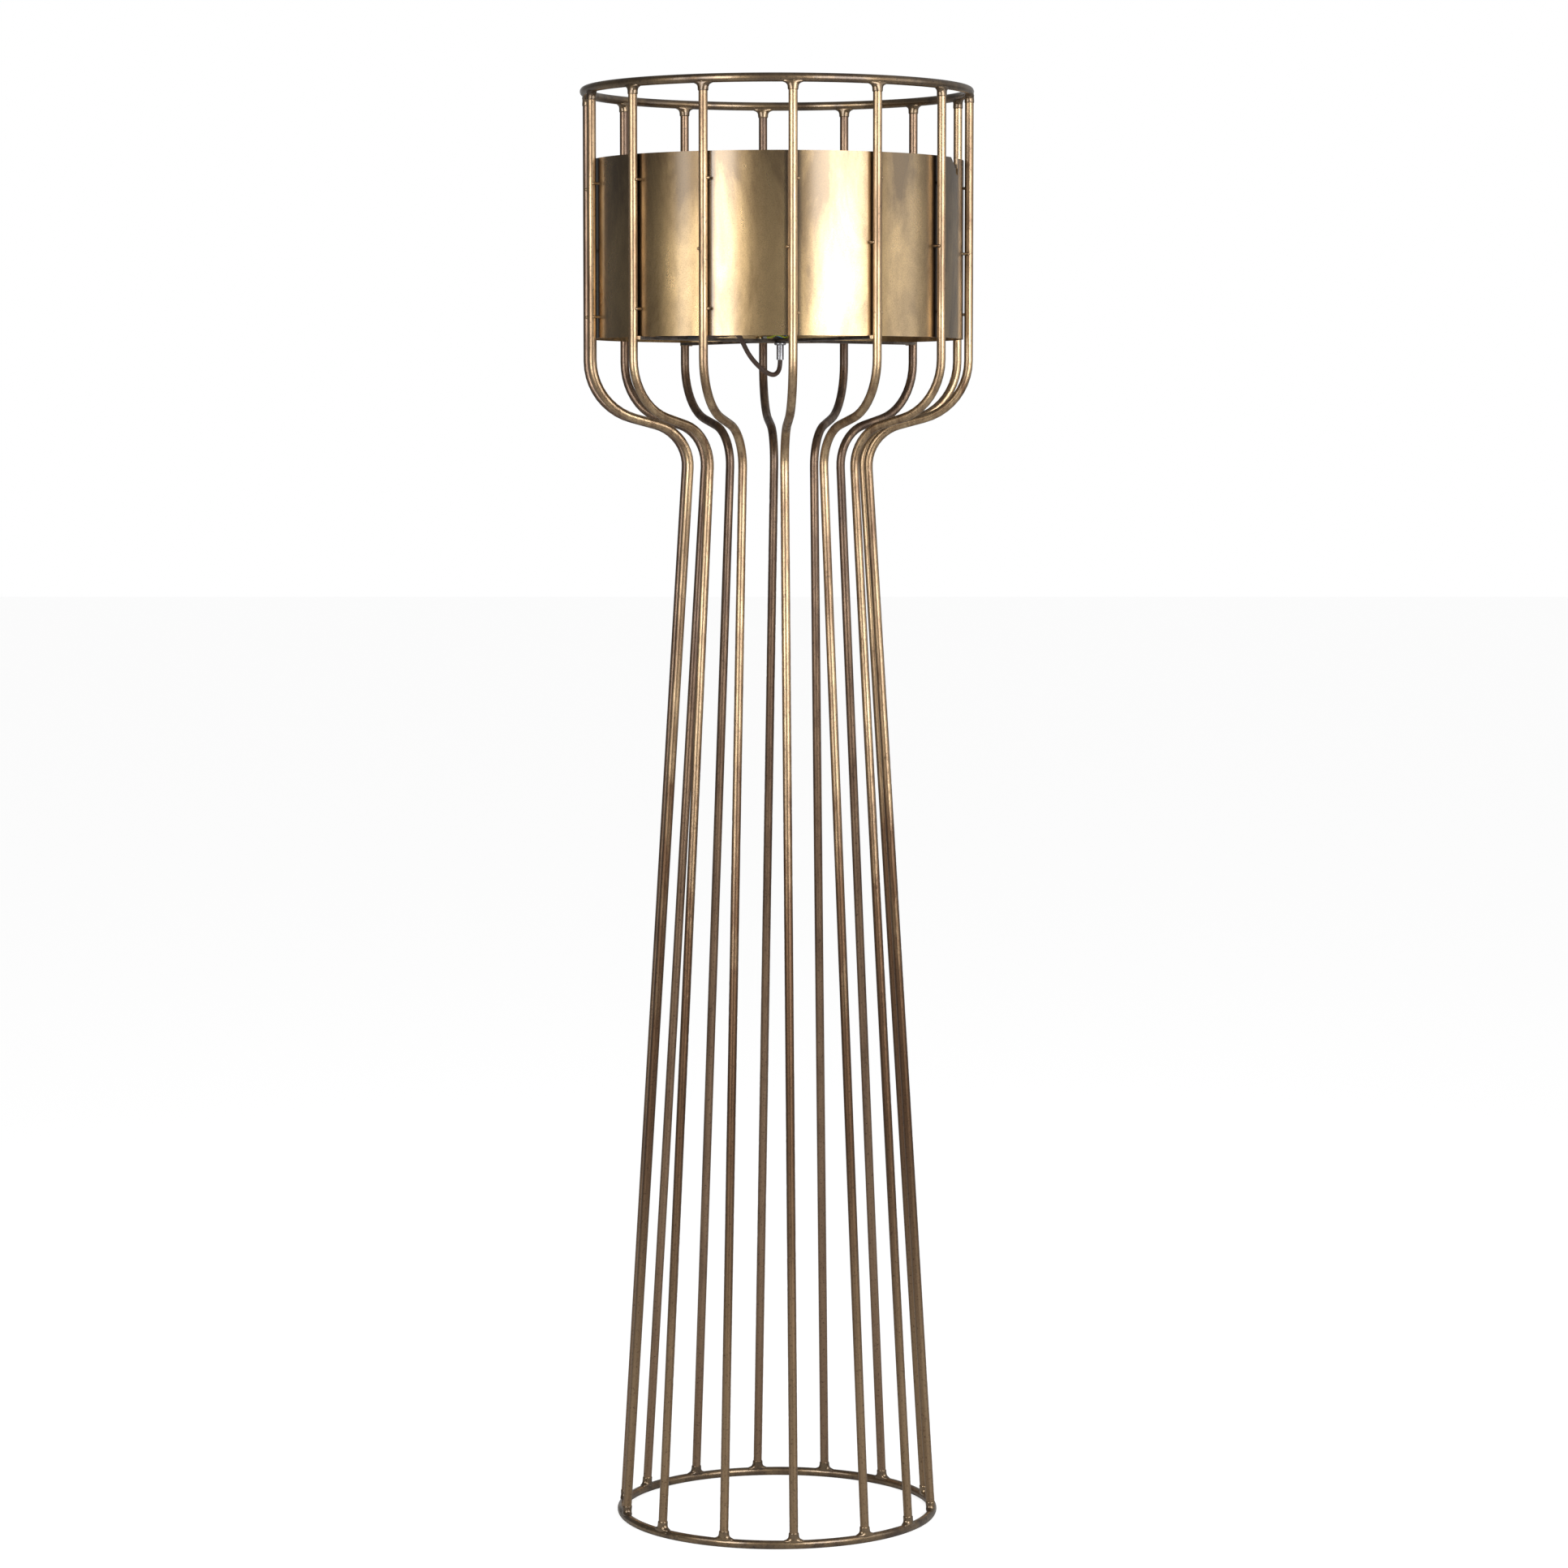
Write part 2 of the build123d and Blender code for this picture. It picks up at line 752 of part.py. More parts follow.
def bulb_outline(inset):
    """Half outline of the glass: a neck that opens in a smooth curve into a round top."""
    neck = bulb_neck_diameter / 2 - inset
    globe = bulb_glass_diameter / 2 - inset
    start = bulb_cap_top - bulb_neck_depth + inset
    globe_centre = bulb_bottom_height + bulb_height - bulb_glass_diameter / 2
    side = Spline(
        (neck, 0, bulb_cap_top),
        (globe, 0, globe_centre),
        tangents=[(0.05, 0, 1), (0, 0, 1)],
    )
    dome = ThreePointArc(
        (globe, 0, globe_centre),
        (globe * math.sin(math.pi / 4), 0, globe_centre + globe * math.cos(math.pi / 4)),
        (0, 0, globe_centre + globe),
    )
    return Curve() + [
        Line((0, 0, start), (neck, 0, start)),
        Line((neck, 0, start), (neck, 0, bulb_cap_top)),
        side,
        dome,
        Line((0, 0, globe_centre + globe), (0, 0, start)),
    ]


def bulb_glass():
    outside = revolve(make_face(bulb_outline(0)), Axis.Z)
    inside = revolve(make_face(bulb_outline(bulb_glass_wall)), Axis.Z)
    return Pos(holder_x, holder_y, 0) * (outside - inside)


def switch_spindle():
    wall_outside = cap_diameter / 2
    end = wall_outside + knob_gap + knob_socket_depth
    return cylinder_between(on_spindle(spindle_inner_end), on_spindle(end), spindle_diameter)


def switch_knob():
    start = cap_diameter / 2 + knob_gap
    hub_end = start + knob_hub_length
    blade_end = hub_end + knob_blade_length
    hub = cylinder_between(on_spindle(start), on_spindle(hub_end), knob_hub_diameter)
    middle = on_spindle((hub_end + blade_end) / 2)
    blade = Pos(*middle) * Box(knob_blade_length, knob_blade_width, knob_blade_height)
    corners = blade.edges().filter_by(Axis.Y).group_by(Axis.X)[-1]
    blade = fillet(corners, knob_blade_width)
    return hub + blade - switch_spindle()


earth_place = strap_axis_point(short_strap_rod_indexes, earth_screw_step)


def earth_screw():
    x, y = earth_place.X, earth_place.Y
    head_bottom = strap_top_height + earth_tag_sheet
    shank = upright(x, y, strap_bottom_height, head_bottom, earth_screw_diameter)
    head = upright(x, y, head_bottom, head_bottom + earth_head_height, earth_head_diameter)
    rim = head.edges().sort_by(Axis.Z)[-1]
    return shank + fillet(rim, earth_head_height / 2)


def earth_tag():
    x, y = earth_place.X, earth_place.Y
    disc = upright(x, y, strap_top_height, strap_top_height + earth_tag_sheet, earth_tag_diameter)
    neck_length = earth_barrel_start + earth_barrel_length / 2
    neck_place = Vector(x, y, strap_top_height + earth_tag_sheet / 2) + earth_direction * (neck_length / 2)
    neck_plane = Plane(origin=neck_place, x_dir=earth_direction, z_dir=(0, 0, 1))
    neck = neck_plane * Box(neck_length, earth_tag_neck_width, earth_tag_sheet)
    start = earth_barrel_point(earth_barrel_start)
    end = earth_barrel_point(earth_barrel_start + earth_barrel_length)
    barrel = cylinder_between(start, end, earth_barrel_diameter)
    bore = cylinder_between(start - earth_direction, end + earth_direction, core_diameter)
    return disc + neck + barrel - bore - earth_screw()


earth_direction = Vector(math.cos(math.radians(earth_tag_turn)), math.sin(math.radians(earth_tag_turn)), 0)


def earth_barrel_point(distance):
    """Point on the axis of the tag's crimped barrel, at a distance from the earth screw."""
    level = Vector(0, 0, strap_top_height - earth_place.Z + earth_barrel_diameter / 2)
    return earth_place + level + earth_direction * distance


def route_path(name, points):
    """Straight runs joined by arcs, each nearly as large as its two runs allow; prints the radii."""
    route = [Vector(*point) for point in points]
    radii = []
    for before, corner, after in zip(route, route[1:], route[2:]):
        first_run = corner - before
        second_run = after - corner
        half_turn = math.radians(first_run.get_angle(second_run)) / 2
        shorter_run = min(first_run.length, second_run.length)
        radii.append(route_bend_share * shorter_run / math.tan(half_turn))
    print(name, "radii", [round(radius, 1) for radius in radii])
    return FilletPolyline(*route, radius=radii)


def routed_tube(name, points, diameter):
    path = route_path(name, points)
    tube = swept_tube(path, diameter)
    expected = path.length * math.pi * diameter**2 / 4
    print(name, "length", round(path.length, 1), "volume ratio", round(tube.volume / expected, 4))
    return tube


def cord_in_grip():
    return at_holder(barrel_bottom, sheath_top, cord_diameter)


coil_centre = strap_axis_point(short_strap_rod_indexes, coil_distance)
coil_bottom_level = strap_top_height + cord_diameter / 2 + coil_rest_gap


def coil_direction(angle):
    return Vector(math.cos(math.radians(angle)), math.sin(math.radians(angle)), 0)


def coil_points():
    """Ends of the half turns, from the outer end of the lowest layer to the outer end of the top one."""
    places = [(coil_outer_radius, 0)]
    for layer in range(coil_layers):
        inwards = 1 if layer % 2 == 0 else -1
        for half_turn in range(coil_half_turns_per_layer):
            places.append((places[-1][0] - inwards * coil_side_pitch / 2, layer))
        if layer < coil_layers - 1:
            places.append((places[-1][0], layer + 1))
    points = []
    for number, (radius, layer) in enumerate(places):
        side = coil_direction(coil_start_angle + 180 * number)
        level = coil_bottom_level + layer * coil_layer_pitch
        points.append(Vector(coil_centre.X, coil_centre.Y, level) + side * radius)
    return points


def coil_tangent(number):
    """The coil runs clockwise seen from above."""
    return coil_direction(coil_start_angle + 180 * number - 90)


def half_turn_arcs(start, end, tangent):
    """Two quarter turns that leave along the tangent and come back against it."""
    reach = (end - start).length / 2
    middle = (start + end) / 2 + tangent * reach
    first = TangentArc(start, middle, tangent=tangent)
    second = TangentArc(middle, end, tangent=(end - start).normalized())
    return [first, second]


coil_turn_ends = coil_points()
coil_start = coil_turn_ends[0] - coil_tangent(0) * cord_diameter
coil_end = coil_turn_ends[-1] + coil_tangent(len(coil_turn_ends) - 1) * cord_diameter


def coil_path():
    edges = [Line(coil_start, coil_turn_ends[0])]
    for number, (start, end) in enumerate(zip(coil_turn_ends, coil_turn_ends[1:])):
        edges += half_turn_arcs(start, end, coil_tangent(number))
    edges.append(Line(coil_turn_ends[-1], coil_end))
    return Wire(edges)


def cord_coil():
    path = coil_path()
    tube = swept_tube(path, cord_diameter)
    expected = path.length * math.pi * cord_diameter**2 / 4
    print("cord_coil length", round(path.length, 1), "volume ratio", round(tube.volume / expected, 4))
    return tube


coil_top_height = coil_bottom_level + (coil_layers - 1) * coil_layer_pitch + cord_diameter / 2
coil_inner_radius = coil_outer_radius - coil_half_turns_per_layer * coil_side_pitch / 2


def coil_tie():
    """A strap round the bundle of turns."""
    half = cord_diameter / 2 + tie_gap
    inner_edge = coil_inner_radius - half - coil_side_pitch / 4
    outer_edge = coil_outer_radius + half + coil_side_pitch / 4
    bottom = coil_bottom_level - half
    top = coil_top_height + tie_gap
    middle = (inner_edge + outer_edge) / 2
    height = (bottom + top) / 2
    window = Box(outer_edge - inner_edge, tie_width + 2 * cut_spare, top - bottom)
    rim = Box(outer_edge - inner_edge + 2 * tie_sheet, tie_width, top - bottom + 2 * tie_sheet)
    rim = fillet(rim.edges().filter_by(Axis.Y), 2 * tie_sheet)
    window = fillet(window.edges().filter_by(Axis.Y), tie_sheet)
    side = coil_direction(tie_angle)
    centre = Vector(coil_centre.X, coil_centre.Y, height) + side * middle
    return Plane(origin=centre, x_dir=side, z_dir=(0, 0, 1)) * (rim - window)


# Points of the cord's visible loop under the grip's straight run, forwards to the left and up into
# the drum, measured from the lampholder's axis and from the straps' underside
loop_steps = [
    (-5.6, -7.6, -38.0),
    (-13.1, -17.8, -36.8),
    (-24.3, -33.2, -28.8),
    (-34.9, -49.8, -16.6),
    (-41.5, -64.2, -3.6),
    (-46.5, -77.6, 6.2),
    (-52.7, -89.0, 9.2),
]


def from_holder(steps, level):
    """Points from steps off the lampholder's axis and off a level."""
    return [(holder_x + x, holder_y + y, level + z) for x, y, z in steps]


def cord_loop():
    first_tangent = coil_tangent(0)
    approach = coil_start - first_tangent * coil_approach
    points = [(holder_x, holder_y, barrel_bottom), (holder_x, holder_y, barrel_bottom - cord_first_drop)]
    points += from_holder(loop_steps, strap_bottom_height)
    points += [tuple(approach), tuple(coil_start)]
    return routed_tube("cord_loop", points, cord_diameter)


# Points of the tail from the coil to the plug: steps along the coil's end, inwards over it, and up
tail_steps = [
    (0.0, 0.0, 0.0),
    (17.0, 0.0, 0.0),
    (35.0, -1.5, 3.5),
    (50.0, 9.0, 9.0),
    (54.5, 28.0, 15.0),
    (44.0, 44.0, 19.6),
]
tail_last_forward = 26.0
tail_last_sideways = 50.0
tail_end_level = coil_top_height + plug_diameter / 2 + plug_rest_gap


def tail_points():
    along = coil_tangent(len(coil_turn_ends) - 1)
    inwards = -coil_direction(coil_start_angle + 180 * (len(coil_turn_ends) - 1))
    points = []
    for forward, sideways, rise in tail_steps:
        points.append(coil_end + along * forward + inwards * sideways + Vector(0, 0, rise))
    last = coil_end + along * tail_last_forward + inwards * tail_last_sideways
    points.append(Vector(last.X, last.Y, tail_end_level))
    return points


def cord_tail():
    return routed_tube("cord_tail", [tuple(point) for point in tail_points()], cord_diameter)


def plug_plane():
    """Plane at the end of the cord, its z axis running into the plug, its x axis level."""
    points = tail_points()
    into_plug = (points[-1] - points[-2]).normalized()
    level = Vector(-into_plug.Y, into_plug.X, 0).normalized()
    return Plane(origin=points[-1], x_dir=level, z_dir=into_plug)


def plug_body():
    relief = Cone(
        plug_relief_end_diameter / 2, plug_relief_start_diameter / 2, plug_relief_length, align=standing
    )
    shell = Pos(0, 0, plug_relief_length) * Cylinder(plug_diameter / 2, plug_body_length, align=standing)
    shell = fillet(shell.edges().filter_by(GeomType.CIRCLE).group_by(Axis.Z)[0], plug_shoulder_round)
    body = plug_plane() * (relief + shell)
    for pin in plug_pins():
        body = body - pin
    for clip in plug_clips():
        body = body - clip
    return body


def plug_pins():
    face = plug_relief_length + plug_body_length
    pins = []
    for side in (-1, 1):
        pin = Pos(side * plug_pin_spacing / 2, 0, face - plug_pin_seat) * Cylinder(
            plug_pin_diameter / 2, plug_pin_seat + plug_pin_length, align=standing
        )
        tip = pin.edges().filter_by(GeomType.CIRCLE).group_by(Axis.Z)[-1]
        pins.append(plug_plane() * fillet(tip, plug_pin_tip_round))
    return pins


def plug_clips():
    """Earth contacts, let into the top and bottom of the plug's face."""
    face = plug_relief_length + plug_body_length
    clips = []
    for side in (-1, 1):
        height = side * (plug_diameter / 2 - plug_clip_depth)
        clip = Pos(0, height, face - plug_pin_seat) * Box(
            plug_clip_width, plug_clip_sheet, 2 * plug_pin_seat
        )
        clips.append(plug_plane() * clip)
    return clips


def core_start(start_angle, straight_rise):
    """A core leaves the cord's cut sheath inside the grip and goes straight up at first."""
    angle = math.radians(start_angle)
    x = holder_x + core_circle_radius * math.cos(angle)
    y = holder_y + core_circle_radius * math.sin(angle)
    return [(x, y, sheath_top), (x, y, sheath_top + straight_rise)]


def core_end(side):
    """The last run of a core, straight up against the head of its terminal screw."""
    x = holder_x + side * (terminal_step - core_terminal_inset)
    return [(x, holder_y, terminal_level - core_last_run), (x, holder_y, terminal_level)]


terminal_level = insert_bottom_height - strip_sheet - terminal_head_height

# Routes of the cores, in steps off the lampholder's axis: first over the straps' underside, in the
# bracket, then under the terminals, in the threaded tube
brown_steps_in_bracket = [
    (0.6, 1.0, 21.3),
    (1.5, 0.3, 28.3),
]
brown_steps_in_tube = [
    (1.5, 0.0, -11.4),
    (1.7, 0.0, -5.8),
]
blue_steps_in_bracket = [
    (0.4, -5.5, 21.4),
    (4.0, -11.6, 21.2),
    (7.4, -16.0, 16.4),
    (7.8, -18.8, 9.4),
    (4.0, -20.2, 4.3),
    (-2.4, -19.4, 6.4),
    (-6.6, -16.6, 12.0),
    (-7.6, -11.6, 17.8),
    (-5.8, -6.2, 22.2),
    (-2.2, -1.2, 26.2),
]
blue_steps_in_tube = [
    (-1.5, 0.0, -12.8),
    (-1.7, 0.0, -6.0),
]
earth_steps_in_bracket = [
    (5.3, -4.8, 18.0),
    (10.2, -10.6, 17.4),
    (13.0, -16.6, 12.6),
    (12.2, -21.6, 6.8),
    (6.6, -24.0, 4.2),
    (0.6, -24.6, 6.4),
    (-4.4, -23.2, 8.0),
    (-7.6, -21.2, 6.2),
]


def core_brown():
    points = core_start(brown_start_angle, brown_straight_rise)
    points += from_holder(brown_steps_in_bracket, strap_bottom_height)
    points += from_holder(brown_steps_in_tube, terminal_level)
    points += core_end(1)
    return routed_tube("core_brown", points, core_diameter)


def core_blue():
    points = core_start(blue_start_angle, blue_straight_rise)
    points += from_holder(blue_steps_in_bracket, strap_bottom_height)
    points += from_holder(blue_steps_in_tube, terminal_level)
    points += core_end(-1)
    return routed_tube("core_blue", points, core_diameter)


def core_earth():
    points = core_start(earth_start_angle, earth_straight_rise)
    points += from_holder(earth_steps_in_bracket, strap_bottom_height)
    outside = earth_barrel_point(earth_barrel_start + earth_barrel_length + core_barrel_run)
    inside = earth_barrel_point(earth_barrel_start + core_barrel_gap)
    points += [tuple(outside), tuple(inside)]
    return routed_tube("core_earth", points, core_diameter)


def save(name, shape):
    pieces = list(shape) if isinstance(shape, (list, tuple)) else [shape]
    solids = []
    for piece in pieces:
        solids += piece.solids()
    part = solids[0] if len(solids) == 1 else Compound(children=solids)
    part.label = name
    export_step(part, os.path.join("parts", name + ".step"))
    print(name, len(solids), "solid(s)", round(sum(solid.volume for solid in solids), 1))


def build():
    os.makedirs("parts", exist_ok=True)
    top_ring = cage_ring(top_ring_radius, top_ring_height)
    foot_ring = ground_foot_ring()
    save("top_ring", top_ring)
    save("foot_ring", foot_ring)
    rods = [cage_rod(index, top_ring, foot_ring) for index in range(rod_count)]
    for index, rod in enumerate(rods):
        save(f"rod_{index + 1:02d}", rod)
    save("top_welds", [top_weld(index, top_ring, rod) for index, rod in enumerate(rods)])
    save("foot_welds", [foot_weld(index, foot_ring, rod) for index, rod in enumerate(rods)])
    save("shade_band", shade_band())
    save("seam_strip", seam_strip())
    save("upper_tacks", tack_pins(0, upper_tack_height, 1))
    save("middle_tacks", tack_pins(1, middle_tack_height, -1))
    save("lower_tacks", tack_pins(2, lower_tack_height, 1))
    left_strap, right_strap = short_straps()
    save("long_strap", long_strap())
    save("left_strap", left_strap)
    save("right_strap", right_strap)
    save("strap_beads", strap_beads())
    save("holder_bracket", holder_bracket())
    save("cord_grip", cord_grip())
    save("grip_nut", thread_nut(strap_top_height + bracket_sheet))
    save("holder_tube", holder_tube())
    save("tube_nut", thread_nut(bracket_top_height - bracket_sheet - nut_height))
    save("holder_cap", holder_cap())
    save("holder_body", holder_body())
    save("holder_insert", holder_insert())
    save("screw_shell", screw_shell())
    save("contact_strips", contact_strips())
    save("terminal_screws", [terminal_screw(side) for side in (-1, 1)])
    save("contact_plunger", contact_plunger())
    save("contact_spring", contact_spring())
    save("bulb_tip", bulb_tip())
    save("bulb_insulator", bulb_insulator())
    save("bulb_cap", bulb_cap())
    save("bulb_glass", bulb_glass())
    save("switch_spindle", switch_spindle())
    save("switch_knob", switch_knob())
    save("earth_screw", earth_screw())
    save("earth_tag", earth_tag())
    save("core_brown", core_brown())
    save("core_blue", core_blue())
    save("core_earth", core_earth())
    save("cord_in_grip", cord_in_grip())
    save("cord_loop", cord_loop())
    save("cord_coil", cord_coil())
    save("cord_tail", cord_tail())
    save("coil_tie", coil_tie())
    save("plug_body", plug_body())
    save("plug_pins", plug_pins())
    save("plug_clips", plug_clips())


build()
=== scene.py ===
import bpy
import math
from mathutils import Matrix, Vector


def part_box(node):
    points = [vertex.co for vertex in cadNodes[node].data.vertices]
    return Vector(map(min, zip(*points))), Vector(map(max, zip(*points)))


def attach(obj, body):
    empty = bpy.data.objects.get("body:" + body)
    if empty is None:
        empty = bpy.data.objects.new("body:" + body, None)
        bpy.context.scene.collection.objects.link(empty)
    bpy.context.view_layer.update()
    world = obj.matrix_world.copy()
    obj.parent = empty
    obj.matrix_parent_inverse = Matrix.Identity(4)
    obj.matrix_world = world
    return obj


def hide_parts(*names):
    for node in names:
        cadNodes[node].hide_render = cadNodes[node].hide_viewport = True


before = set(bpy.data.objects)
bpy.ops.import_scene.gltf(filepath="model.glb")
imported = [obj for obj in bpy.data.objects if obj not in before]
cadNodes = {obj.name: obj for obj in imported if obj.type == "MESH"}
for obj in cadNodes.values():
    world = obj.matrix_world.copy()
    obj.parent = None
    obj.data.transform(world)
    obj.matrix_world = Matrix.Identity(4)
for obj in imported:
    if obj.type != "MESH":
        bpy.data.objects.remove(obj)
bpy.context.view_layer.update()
bpy.ops.object.select_all(action="DESELECT")
print("frame loaded:", len(cadNodes), "nodes")


# Camera: the place, tilt and lens of the photograph, in metres, degrees and millimetres

cameraView = {
    "place": (0.0081, -5.1505, 1.2528),
    "tiltDown": 4.44,
    "lens": 102.63,
    "sensor": 36.0,
    "farthest": 60.0,
}


def makeCamera(v):
    turn = (math.radians(90 - v["tiltDown"]), 0, 0)
    bpy.ops.object.camera_add(location=v["place"], rotation=turn)
    camera = bpy.context.object
    camera.name = "studioCamera"
    camera.data.lens = v["lens"]
    camera.data.sensor_width = v["sensor"]
    camera.data.clip_end = v["farthest"]
    camera.select_set(False)
    bpy.context.scene.camera = camera


makeCamera(cameraView)
print("camera made")


# Supply cord: out of the grip, round the loop, into the coil on the left strap, and to the plug

def nodeMiddle(name):
    low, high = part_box(name)
    return (Vector(low) + Vector(high)) / 2


holderAxis = nodeMiddle("holder_tube")
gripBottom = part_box("cord_grip")[0][2]

cordFacts = {
    "length": 2.359,
    "diameter": 0.0054,
    "ringSides": 8,
    "stepsPerPoint": 6,
    "loop": [
        (-0.0019, -0.0124, 1.3232),
        (-0.0094, -0.0226, 1.3244),
        (-0.0206, -0.0380, 1.3324),
        (-0.0312, -0.0546, 1.3446),
        (-0.0378, -0.0690, 1.3576),
        (-0.0428, -0.0824, 1.3674),
        (-0.0490, -0.0938, 1.3704),
    ],
    "loopDrop": 1.3304,
    "coilCentre": (-0.09787, -0.09299),
    "coilStartAngle": -40.0,
    "coilRadius": 0.0382,
    "sidePitch": 0.0072,
    "layerPitch": 0.0059,
    "halfTurnsPerLayer": 5,
    "layers": 4,
    "pointsPerHalfTurn": 8,
    "approach": 0.0126,
    "tail": [
        (0.017, 0.0, 0.0),
        (0.035, -0.0015, 0.0035),
        (0.050, 0.009, 0.009),
        (0.0545, 0.028, 0.015),
        (0.044, 0.044, 0.0196),
    ],
    "tailEnd": (0.026, 0.050),
    "plugRadius": 0.0185,
    "plugGap": 0.0002,
}


def flatDirection(angle):
    return Vector((math.cos(math.radians(angle)), math.sin(math.radians(angle)), 0))


def coilControlPoints(f, centre):
    places = [(f["coilRadius"], 0)]
    for layer in range(f["layers"]):
        inwards = 1 if layer % 2 == 0 else -1
        for halfTurn in range(f["halfTurnsPerLayer"]):
            places.append((places[-1][0] - inwards * f["sidePitch"] / 2, layer))
        if layer < f["layers"] - 1:
            places.append((places[-1][0], layer + 1))
    ends = []
    for number, (radius, layer) in enumerate(places):
        side = flatDirection(f["coilStartAngle"] + 180 * number)
        ends.append(centre + side * radius + Vector((0, 0, layer * f["layerPitch"])))
    points = []
    steps = f["pointsPerHalfTurn"]
    swell = 2 / (1 + math.cos(math.pi / steps))  # the spline runs inside its points by half of this
    for number, (start, end) in enumerate(zip(ends, ends[1:])):
        tangent = flatDirection(f["coilStartAngle"] + 180 * number - 90)
        middle = (start + end) / 2
        for step in range(steps):
            turn = math.pi * (step + 0.5) / steps
            outwards = (start - middle) * math.cos(turn) * swell
            points.append(middle + outwards + tangent * (start - middle).length * math.sin(turn) * swell)
    return ends, points


def cordRoute(f):
    # The coil's lowest layer rests on the left strap
    radius = f["diameter"] / 2
    centre = Vector((*f["coilCentre"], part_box("cord_coil")[0][2] + radius))
    ends, turns = coilControlPoints(f, centre)
    firstTangent = flatDirection(f["coilStartAngle"] - 90)
    lastTangent = flatDirection(f["coilStartAngle"] + 180 * (len(ends) - 1) - 90)
    inwards = -flatDirection(f["coilStartAngle"] + 180 * (len(ends) - 1))
    exitPoint = Vector((holderAxis.x, holderAxis.y, gripBottom))
    points = [exitPoint, Vector((holderAxis.x, holderAxis.y, f["loopDrop"]))]
    points += [Vector(p) for p in f["loop"]]
    coilStart = ends[0] - firstTangent * f["diameter"]
    coilEnd = ends[-1] + lastTangent * f["diameter"]
    points += [coilStart - firstTangent * f["approach"], coilStart]
    points += turns
    points.append(coilEnd)
    for forward, sideways, rise in f["tail"]:
        points.append(coilEnd + lastTangent * forward + inwards * sideways + Vector((0, 0, rise)))
    forward, sideways = f["tailEnd"]
    last = coilEnd + lastTangent * forward + inwards * sideways
    top = centre.z + (f["layers"] - 1) * f["layerPitch"] + radius
    points.append(Vector((last.x, last.y, top + f["plugRadius"] + f["plugGap"])))
    return exitPoint, points


def makeCord(f):
    exitPoint, points = cordRoute(f)
    curve = bpy.data.curves.new("supplyCord", "CURVE")
    curve.dimensions = "3D"
    spline = curve.splines.new("NURBS")
    spline.points.add(len(points) - 1)
    for controlPoint, point in zip(spline.points, points):
        controlPoint.co = (*point, 1)
        controlPoint.radius = f["diameter"] / 2  # times the bevel depth, the cord's own radius
    spline.order_u = 3
    spline.use_endpoint_u = True
    curve.resolution_u = f["stepsPerPoint"]
    curve.bevel_depth = 1.0
    curve.bevel_resolution = f["ringSides"]
    curve.use_fill_caps = True
    piece = bpy.data.objects.new("supplyCord", curve)
    bpy.context.scene.collection.objects.link(piece)
    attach(piece, "root")
    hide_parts("cord_loop", "cord_coil", "cord_tail")
    return piece


supplyCord = makeCord(cordFacts)
print("cord made")


# Materials: each metal has patches, fine specks and a worn grain, in metres and in shares of one; some also
# carry painted shade by height, and the band carries painted shade under the rods

def nodeMaterial(name):
    material = bpy.data.materials.new(name)
    material.use_nodes = True
    tree = material.node_tree
    shader = tree.nodes["Principled BSDF"]
    return material, tree, shader


def objectMapping(tree, stretch):
    coordinates = tree.nodes.new("ShaderNodeTexCoord")
    mapping = tree.nodes.new("ShaderNodeMapping")
    mapping.inputs["Scale"].default_value = stretch
    tree.links.new(coordinates.outputs["Object"], mapping.inputs["Vector"])
    return mapping.outputs["Vector"], coordinates.outputs["Object"]


def noiseField(tree, vector, size, detail=4.0, roughness=0.55, distortion=0.0):
    noise = tree.nodes.new("ShaderNodeTexNoise")
    noise.inputs["Scale"].default_value = 1.0 / size
    noise.inputs["Detail"].default_value = detail
    noise.inputs["Roughness"].default_value = roughness
    noise.inputs["Distortion"].default_value = distortion
    tree.links.new(vector, noise.inputs["Vector"])
    return noise.outputs["Fac"]


def mapRange(tree, value, lowIn, highIn, lowOut=0.0, highOut=1.0):
    mapped = tree.nodes.new("ShaderNodeMapRange")
    mapped.inputs["From Min"].default_value = lowIn
    mapped.inputs["From Max"].default_value = highIn
    mapped.inputs["To Min"].default_value = lowOut
    mapped.inputs["To Max"].default_value = highOut
    tree.links.new(value, mapped.inputs["Value"])
    return mapped.outputs["Result"]


def combine(tree, operation, first, second, clamp=False):
    node = tree.nodes.new("ShaderNodeMath")
    node.operation = operation
    node.use_clamp = clamp
    for socket, value in zip(node.inputs, (first, second)):
        if isinstance(value, (int, float)):
            socket.default_value = value
        else:
            tree.links.new(value, socket)
    return node.outputs["Value"]


def mixColour(tree, factor, first, second):
    node = tree.nodes.new("ShaderNodeMix")
    node.data_type = "RGBA"
    for socket, value in ((node.inputs[6], first), (node.inputs[7], second)):
        if isinstance(value, tuple):
            socket.default_value = (*value, 1)
        else:
            tree.links.new(value, socket)
    tree.links.new(factor, node.inputs[0])
    return node.outputs[2]


def bumpFrom(tree, height, distance, strength, normal=None):
    bump = tree.nodes.new("ShaderNodeBump")
    bump.inputs["Distance"].default_value = distance
    bump.inputs["Strength"].default_value = strength
    tree.links.new(height, bump.inputs["Height"])
    if normal is not None:
        tree.links.new(normal, bump.inputs["Normal"])
    return bump.outputs["Normal"]


